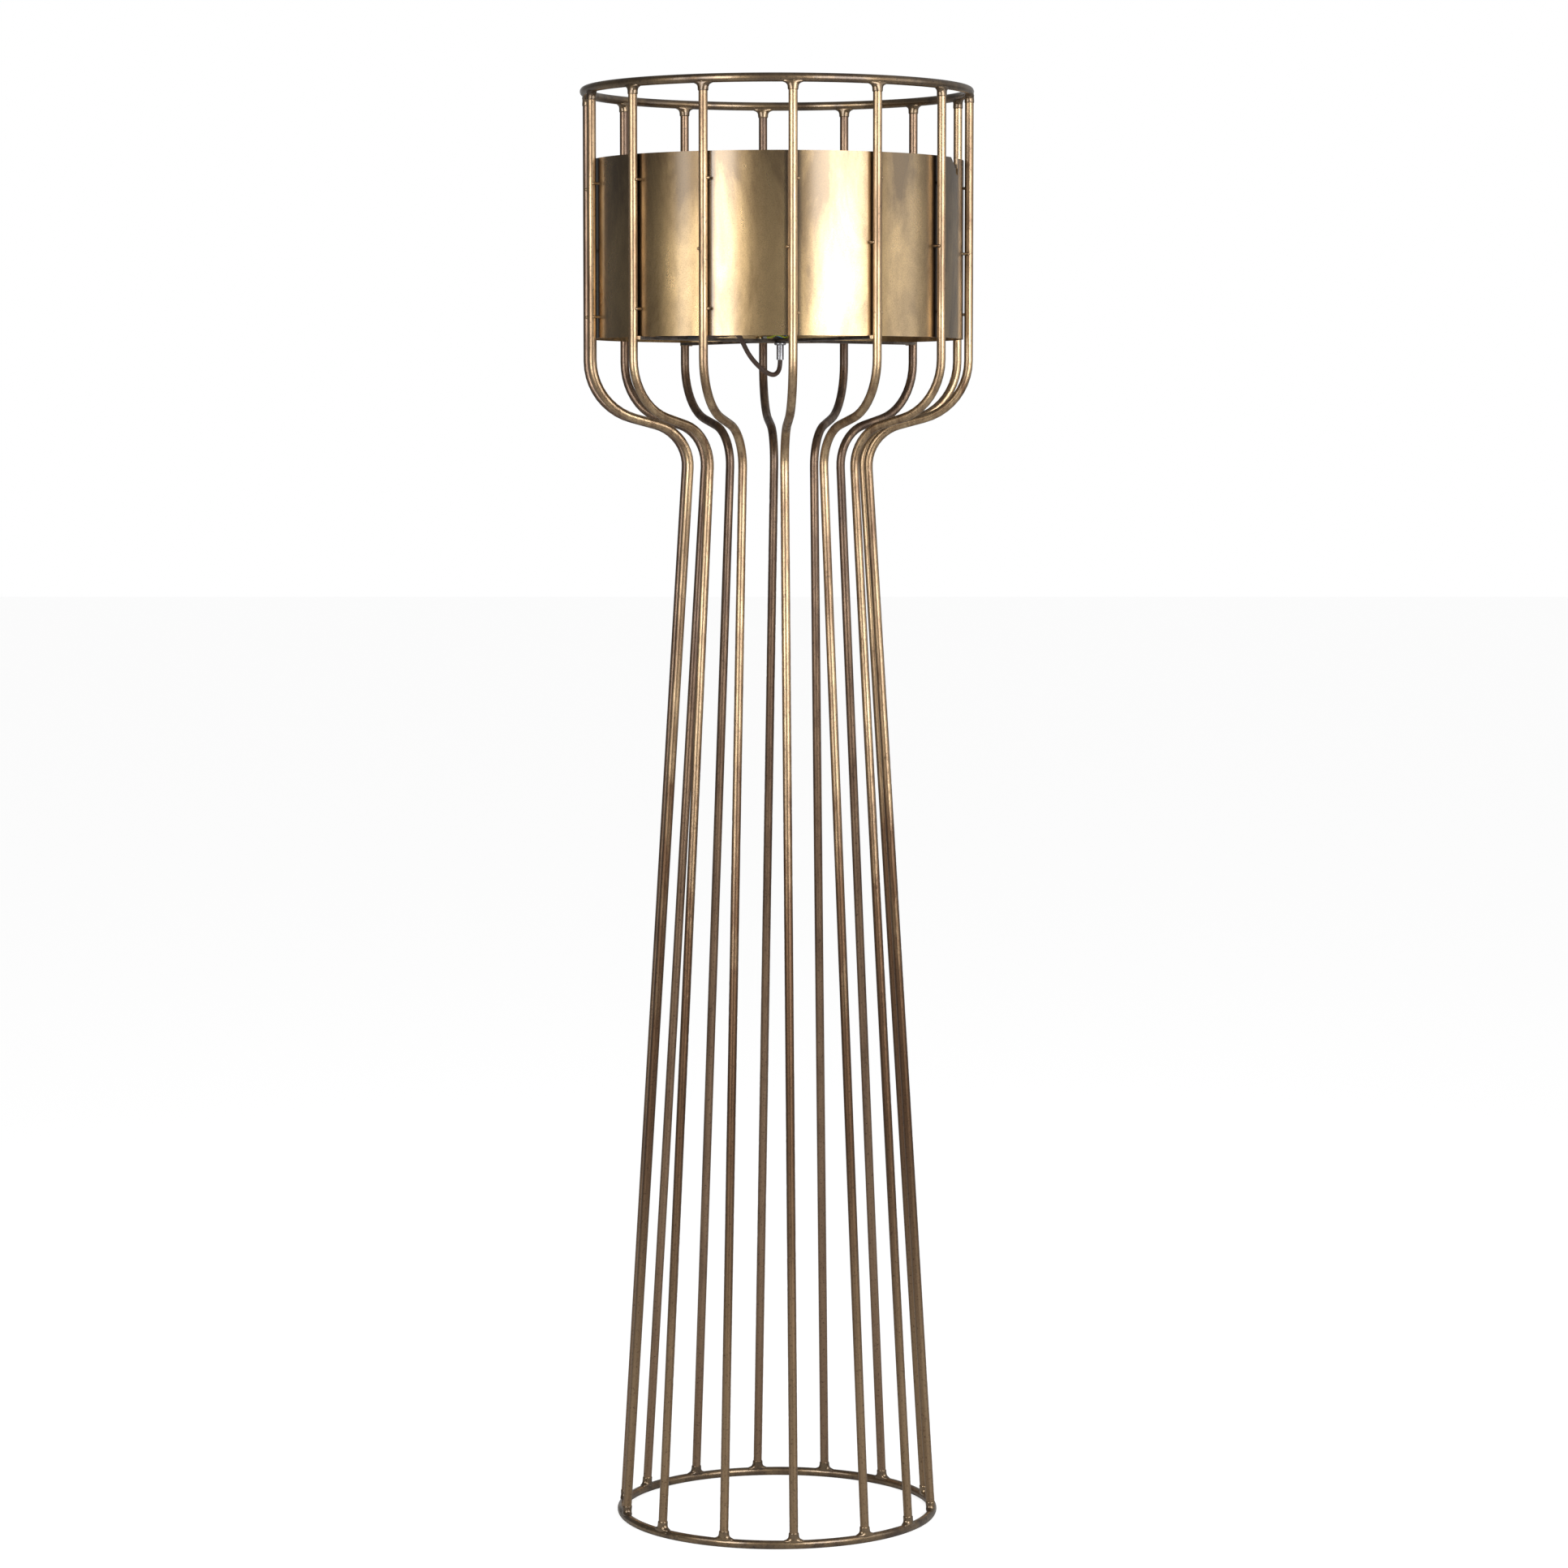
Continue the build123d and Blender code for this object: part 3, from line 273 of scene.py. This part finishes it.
def paintedShadeUnderRods(tree, place, lines):
    # Painted shade: dark lines down the band's outer face under each of the evenly spaced rods, standing in
    # for their contact shadow
    separate = tree.nodes.new("ShaderNodeSeparateXYZ")
    tree.links.new(place, separate.inputs["Vector"])
    front = combine(tree, "MULTIPLY", separate.outputs["Y"], -1.0)
    turn = combine(tree, "ARCTAN2", separate.outputs["X"], front)
    pitch = 2 * math.pi / lines["count"]
    start = math.radians(lines["firstAngle"])
    pitches = combine(tree, "MULTIPLY", combine(tree, "SUBTRACT", turn, start), 1 / pitch)
    offCentre = combine(tree, "PINGPONG", pitches, 0.5)
    edge = math.radians(lines["halfWidth"]) / pitch
    core = edge * lines["fullShare"]
    underRod = mapRange(tree, offCentre, edge, core, 0.0, lines["amount"])
    across = combine(tree, "POWER", separate.outputs["X"], 2.0)
    along = combine(tree, "POWER", separate.outputs["Y"], 2.0)
    radius = combine(tree, "SQRT", combine(tree, "ADD", across, along), 0.0)
    outside = mapRange(tree, radius, *lines["outerFace"])
    return combine(tree, "MULTIPLY", underRod, outside)


metalNoise = {
    "patch": {"detail": 5.0, "roughness": 0.6, "distortion": 0.4},
    "speck": {"detail": 3.0, "roughness": 0.7},
    "grain": {"detail": 2.0, "roughness": 0.6},
    "wave": {"detail": 1.0, "roughness": 0.4},
    "patchRange": (0.38, 0.66),
    "speckRange": (0.56, 0.72),
    "roughRange": (0.3, 0.7),
    "grainStrength": 0.6,
    "waveStrength": 1.0,
    "coatRoughness": 0.2,
    "coatIor": 1.7,
}


def agedMetal(name, look):
    material, tree, shader = nodeMaterial(name)
    stretched, plain = objectMapping(tree, look.get("stretch", (1, 1, 1)))
    patches = noiseField(tree, stretched, look["patchSize"], **metalNoise["patch"])
    patchFactor = mapRange(tree, patches, *look.get("patchRange", metalNoise["patchRange"]))
    # Painted shade by height: between two heights the colour is pushed toward the dull tone; a negative
    # amount pushes it back toward the bright tone
    for start, end, amount in look.get("paintedShadeHeights", ()):
        separate = tree.nodes.new("ShaderNodeSeparateXYZ")
        tree.links.new(plain, separate.inputs["Vector"])
        paintedShadeAmount = mapRange(tree, separate.outputs["Z"], start, end, 0.0, amount)
        patchFactor = combine(tree, "ADD", patchFactor, paintedShadeAmount, True)
    colour = mixColour(tree, patchFactor, look["bright"], look["dull"])
    specks = noiseField(tree, plain, look["speckSize"], **metalNoise["speck"])
    speckRange = look.get("speckRange", metalNoise["speckRange"])
    speckFactor = mapRange(tree, specks, *speckRange, 0.0, look["speckAmount"])
    colour = mixColour(tree, speckFactor, colour, look["stain"])
    # Painted shade: dark lines on the band under the rods
    if "rodShadeLines" in look:
        lines = paintedShadeUnderRods(tree, plain, look["rodShadeLines"])
        colour = mixColour(tree, lines, colour, look["paintedRodShade"])
    tree.links.new(colour, shader.inputs["Base Color"])
    roughness = mapRange(tree, patches, *metalNoise["roughRange"], *look["roughness"])
    tree.links.new(roughness, shader.inputs["Roughness"])
    shader.inputs["Metallic"].default_value = 1.0
    shader.inputs["Coat Weight"].default_value = look.get("coat", 0.0)
    shader.inputs["Coat Roughness"].default_value = look.get("coatRoughness", metalNoise["coatRoughness"])
    shader.inputs["Coat IOR"].default_value = look.get("coatIor", metalNoise["coatIor"])
    grain = noiseField(tree, plain, look["grainSize"], **metalNoise["grain"])
    normal = bumpFrom(tree, grain, look["grainDepth"], metalNoise["grainStrength"])
    if "waveSize" in look:
        waves = noiseField(tree, stretched, look["waveSize"], **metalNoise["wave"])
        normal = bumpFrom(tree, waves, look["waveDepth"], metalNoise["waveStrength"], normal)
    tree.links.new(normal, shader.inputs["Normal"])
    return material


plasticNoise = {
    "cloudSize": 0.02,
    "cloudDetail": 3.0,
    "cloudRange": (0.35, 0.7),
    "roughRange": (0.3, 0.7),
    "grainSize": 0.0009,
    "grainDetail": 2.0,
    "grainDepth": 0.00004,
    "grainStrength": 0.5,
}


def mouldedPlastic(name, look):
    material, tree, shader = nodeMaterial(name)
    n = plasticNoise
    _, plain = objectMapping(tree, (1, 1, 1))
    cloud = noiseField(tree, plain, n["cloudSize"], n["cloudDetail"])
    factor = mapRange(tree, cloud, *n["cloudRange"])
    tree.links.new(mixColour(tree, factor, look["colour"], look["shade"]), shader.inputs["Base Color"])
    roughness = mapRange(tree, cloud, *n["roughRange"], *look["roughness"])
    tree.links.new(roughness, shader.inputs["Roughness"])
    grain = noiseField(tree, plain, n["grainSize"], n["grainDetail"])
    tree.links.new(bumpFrom(tree, grain, n["grainDepth"], n["grainStrength"]), shader.inputs["Normal"])
    return material


metalLooks = {
    "rodFront": {
        "bright": (0.66, 0.47, 0.270), "dull": (0.20, 0.112, 0.060), "stain": (0.055, 0.034, 0.024),
        "stretch": (1, 1, 0.12), "patchSize": 0.011, "patchRange": (0.36, 0.72),
        "speckSize": 0.0026, "speckAmount": 0.75, "roughness": (0.30, 0.44),
        "grainSize": 0.0014, "grainDepth": 0.00008, "coat": 0.5, "coatRoughness": 0.14, "coatIor": 1.55,
        # Painted shade by height: darker from 0.95 m down to 0.55 m, lighter again below 0.45 m
        "paintedShadeHeights": ((0.95, 0.55, 0.95), (0.45, 0.15, -0.45)),
    },
    # Painted shade: a darker copy of the rod brass for the rods at the back
    "rodBackShaded": {
        "bright": (0.40, 0.260, 0.160), "dull": (0.15, 0.092, 0.060), "stain": (0.045, 0.030, 0.024),
        "stretch": (1, 1, 0.12), "patchSize": 0.011, "patchRange": (0.36, 0.70),
        "speckSize": 0.0026, "speckAmount": 0.75, "roughness": (0.32, 0.46),
        "grainSize": 0.0014, "grainDepth": 0.00006, "coat": 0.4, "coatRoughness": 0.18,
        # Painted shade by height: darker from 0.62 m up to 1.00 m, lighter from 0.62 m down to 0.15 m
        "paintedShadeHeights": ((0.62, 0.15, -0.60), (0.62, 1.00, 0.25)),
    },
    "ringBronze": {
        "bright": (0.38, 0.26, 0.14), "dull": (0.13, 0.085, 0.052), "stain": (0.030, 0.021, 0.016),
        "patchSize": 0.034, "patchRange": (0.34, 0.66), "speckSize": 0.003, "speckAmount": 0.7,
        "roughness": (0.26, 0.44), "grainSize": 0.0016, "grainDepth": 0.00007,
        "coat": 0.7, "coatRoughness": 0.15,
    },
    "bandBrass": {
        "bright": (0.63, 0.425, 0.190), "dull": (0.20, 0.125, 0.050), "stain": (0.07, 0.045, 0.022),
        "stretch": (1, 1, 0.35), "patchSize": 0.042, "patchRange": (0.36, 0.70),
        "speckSize": 0.0012, "speckRange": (0.44, 0.72), "speckAmount": 0.40, "roughness": (0.25, 0.37),
        "grainSize": 0.0012, "grainDepth": 0.00015, "waveSize": 0.085, "waveDepth": 0.0015,
        # Painted shade: the band darker towards its top, from 1.46 m up to 1.56 m
        "coat": 1.0, "coatRoughness": 0.20, "coatIor": 1.75, "paintedShadeHeights": ((1.46, 1.56, 0.55),),
        # Painted shade under each rod, and its dark colour
        "rodShadeLines": {
            "count": 14, "firstAngle": 4.9, "halfWidth": 2.9, "fullShare": 0.45, "amount": 0.92,
            "outerFace": (0.2127, 0.2131),
        },
        "paintedRodShade": (0.030, 0.018, 0.009),
    },
    "strapSteel": {
        "bright": (0.24, 0.205, 0.175), "dull": (0.10, 0.082, 0.068), "stain": (0.03, 0.024, 0.02),
        "patchSize": 0.02, "speckSize": 0.003, "speckAmount": 0.6, "roughness": (0.32, 0.50),
        "grainSize": 0.0015, "grainDepth": 0.00006,
    },
    "gripNickel": {
        "bright": (0.56, 0.56, 0.58), "dull": (0.34, 0.34, 0.36), "stain": (0.16, 0.15, 0.15),
        "stretch": (1, 1, 0.1), "patchSize": 0.004, "speckSize": 0.0012, "speckAmount": 0.3,
        "roughness": (0.26, 0.40), "grainSize": 0.0008, "grainDepth": 0.00002,
    },
    "zincNut": {
        "bright": (0.62, 0.60, 0.53), "dull": (0.42, 0.40, 0.36), "stain": (0.20, 0.18, 0.15),
        "patchSize": 0.005, "speckSize": 0.001, "speckAmount": 0.4, "roughness": (0.26, 0.40),
        "grainSize": 0.0006, "grainDepth": 0.00002,
    },
    "contactBrass": {
        "bright": (0.80, 0.58, 0.27), "dull": (0.60, 0.42, 0.19), "stain": (0.25, 0.16, 0.08),
        "patchSize": 0.006, "speckSize": 0.001, "speckAmount": 0.35, "roughness": (0.20, 0.34),
        "grainSize": 0.0006, "grainDepth": 0.00002,
    },
    "bulbCapMetal": {
        "bright": (0.78, 0.78, 0.79), "dull": (0.62, 0.62, 0.63), "stain": (0.36, 0.35, 0.33),
        "patchSize": 0.006, "speckSize": 0.001, "speckAmount": 0.3, "roughness": (0.24, 0.36),
        "grainSize": 0.0006, "grainDepth": 0.00002,
    },
}

plasticLooks = {
    "bracketBlack": {
        "colour": (0.022, 0.021, 0.020), "shade": (0.035, 0.032, 0.029),
        "roughness": (0.35, 0.5),
    },
    "holderBlack": {
        "colour": (0.020, 0.019, 0.018), "shade": (0.028, 0.026, 0.024),
        "roughness": (0.22, 0.34),
    },
    "insertCeramic": {
        "colour": (0.80, 0.78, 0.72), "shade": (0.72, 0.69, 0.62),
        "roughness": (0.18, 0.3),
    },
    "bulbBlack": {
        "colour": (0.012, 0.012, 0.014), "shade": (0.02, 0.02, 0.02),
        "roughness": (0.1, 0.2),
    },
    "opalGlass": {
        "colour": (0.86, 0.86, 0.83), "shade": (0.82, 0.82, 0.79),
        "roughness": (0.12, 0.2),
    },
    "brownSleeve": {
        "colour": (0.16, 0.065, 0.03), "shade": (0.12, 0.05, 0.024),
        "roughness": (0.35, 0.5),
    },
    "blueSleeve": {
        "colour": (0.035, 0.22, 0.50), "shade": (0.026, 0.17, 0.42),
        "roughness": (0.35, 0.5),
    },
    "earthSleeve": {
        "colour": (0.50, 0.56, 0.03), "shade": (0.42, 0.50, 0.04),
        "roughness": (0.35, 0.5),
    },
    "brownCord": {
        "colour": (0.098, 0.060, 0.044), "shade": (0.078, 0.047, 0.034),
        "roughness": (0.38, 0.5),
    },
    "blackTie": {
        "colour": (0.018, 0.018, 0.018), "shade": (0.026, 0.026, 0.026),
        "roughness": (0.5, 0.65),
    },
}

finishes = {name: agedMetal(name, look) for name, look in metalLooks.items()}
finishes.update({name: mouldedPlastic(name, look) for name, look in plasticLooks.items()})
print("materials made:", len(finishes))


# Which finish each CAD node wears

# Painted shade: the rods at the back wear the darker copy of the rod brass
shadedBackRods = (6, 7, 8, 9, 10, 11)

nodeFinishes = {
    "top_ring": "ringBronze", "foot_ring": "ringBronze",
    "top_welds": "ringBronze", "foot_welds": "ringBronze",
    "shade_band": "bandBrass", "seam_strip": "bandBrass",
    "upper_tacks": "rodFront", "middle_tacks": "rodFront", "lower_tacks": "rodFront",
    "long_strap": "strapSteel", "left_strap": "strapSteel", "right_strap": "strapSteel",
    "strap_beads": "rodFront", "holder_bracket": "bracketBlack", "cord_grip": "gripNickel",
    "grip_nut": "zincNut", "tube_nut": "zincNut", "holder_tube": "zincNut",
    "holder_cap": "holderBlack", "holder_body": "holderBlack", "holder_insert": "insertCeramic",
    "screw_shell": "contactBrass", "contact_strips": "contactBrass", "terminal_screws": "contactBrass",
    "contact_plunger": "contactBrass", "contact_spring": "zincNut", "bulb_tip": "zincNut",
    "bulb_insulator": "bulbBlack", "bulb_cap": "bulbCapMetal", "bulb_glass": "opalGlass",
    "switch_spindle": "holderBlack", "switch_knob": "holderBlack",
    "earth_screw": "contactBrass", "earth_tag": "zincNut",
    "core_brown": "brownSleeve", "core_blue": "blueSleeve", "core_earth": "earthSleeve",
    "cord_in_grip": "brownCord", "cord_loop": "brownCord", "cord_coil": "brownCord", "cord_tail": "brownCord",
    "coil_tie": "blackTie", "plug_body": "brownCord", "plug_pins": "gripNickel", "plug_clips": "zincNut",
}
for number in range(1, 15):
    nodeFinishes[f"rod_{number:02d}"] = "rodBackShaded" if number in shadedBackRods else "rodFront"


def dressNode(node, material, weldDistance=0.00001, splitAngle=32):
    node.data.materials.clear()
    node.data.materials.append(material)
    node.data.shade_smooth()
    weld = node.modifiers.new("joinCorners", "WELD")
    weld.merge_threshold = weldDistance
    split = node.modifiers.new("keepEdges", "EDGE_SPLIT")
    split.split_angle = math.radians(splitAngle)


for nodeName, node in cadNodes.items():
    dressNode(node, finishes[nodeFinishes[nodeName]])
supplyCord.data.materials.append(finishes["brownCord"])
print("nodes dressed")


# Studio: a pale floor that keeps the shadow, a white world and tall softboxes round the front

studio = {
    "floorSize": 60.0,
    "floorGlow": 0.78,
    "floorColour": (0.44, 0.44, 0.44),
    "floorRoughness": 0.9,
    "worldFill": 0.42,
    "backdropEdge": 0.90,
    "backdropGlow": 0.55,
    "sideRange": (-0.6, 0.9),
    "sideGlow": (0.10, 0.34),
    "boxDistance": 2.6,
    "boxBottom": 0.80,
    "boxTop": 2.9,
    "boxes": {
        "leftSoftbox": {"angle": -34, "width": 0.90, "glow": 5.6},
        "sideSoftbox": {"angle": -56, "width": 0.40, "glow": 3.0},
        "rightSoftbox": {"angle": 37, "width": 1.55, "glow": 5.2},
        "rightPanel": {"angle": 80, "width": 1.10, "glow": 0.9},
    },
}


def softbox(name, box, s):
    angle = math.radians(box["angle"])
    height = s["boxTop"] - s["boxBottom"]
    middle = s["boxBottom"] + height / 2
    place = (math.sin(angle) * s["boxDistance"], -math.cos(angle) * s["boxDistance"], middle)
    bpy.ops.object.light_add(type="AREA", location=place, rotation=(math.radians(90), 0, angle))
    lamp = bpy.context.object
    lamp.name = name
    lamp.data.shape = "RECTANGLE"
    lamp.data.size = box["width"]
    lamp.data.size_y = height
    lamp.data.energy = box["glow"] * math.pi * box["width"] * height
    lamp.visible_camera = False
    lamp.select_set(False)


def seenRays(tree):
    path = tree.nodes.new("ShaderNodeLightPath")
    seen = combine(tree, "ADD", path.outputs["Is Camera Ray"], path.outputs["Is Transmission Ray"], True)
    return seen, path.outputs["Is Glossy Ray"]


def makeWorld(s):
    world = bpy.data.worlds.new("studioWorld")
    bpy.context.scene.world = world
    world.use_nodes = True
    tree = world.node_tree
    background = tree.nodes["Background"]
    seen, glossy = seenRays(tree)
    coordinates = tree.nodes.new("ShaderNodeTexCoord")
    separate = tree.nodes.new("ShaderNodeSeparateXYZ")
    tree.links.new(coordinates.outputs["Generated"], separate.inputs["Vector"])
    sides = mapRange(tree, separate.outputs["X"], *s["sideRange"], *s["sideGlow"])
    backdrop = mapRange(tree, separate.outputs["Y"], s["backdropEdge"], 1.0, 0.0, s["backdropGlow"])
    room = combine(tree, "MAXIMUM", sides, backdrop)
    strength = combine(tree, "MULTIPLY", glossy, room)
    fill = combine(tree, "MULTIPLY", combine(tree, "SUBTRACT", 1.0, glossy), s["worldFill"])
    strength = combine(tree, "ADD", strength, fill)
    strength = combine(tree, "MAXIMUM", strength, seen)
    tree.links.new(strength, background.inputs["Strength"])
    background.inputs["Color"].default_value = (1, 1, 1, 1)


def makeFloor(s):
    bpy.ops.mesh.primitive_plane_add(size=s["floorSize"], location=(0, 0, 0))
    floor = bpy.context.object
    floor.name = "studioFloor"
    floor.select_set(False)
    material, tree, shader = nodeMaterial("paleFloor")
    shader.inputs["Base Color"].default_value = (*s["floorColour"], 1)
    shader.inputs["Roughness"].default_value = s["floorRoughness"]
    shader.inputs["Emission Color"].default_value = (1, 1, 1, 1)
    seen, _ = seenRays(tree)
    tree.links.new(combine(tree, "MULTIPLY", seen, s["floorGlow"]), shader.inputs["Emission Strength"])
    floor.data.materials.append(material)


makeFloor(studio)
makeWorld(studio)
for boxName, box in studio["boxes"].items():
    softbox(boxName, box, studio)
bpy.context.scene.view_settings.view_transform = "Standard"
print("studio made")
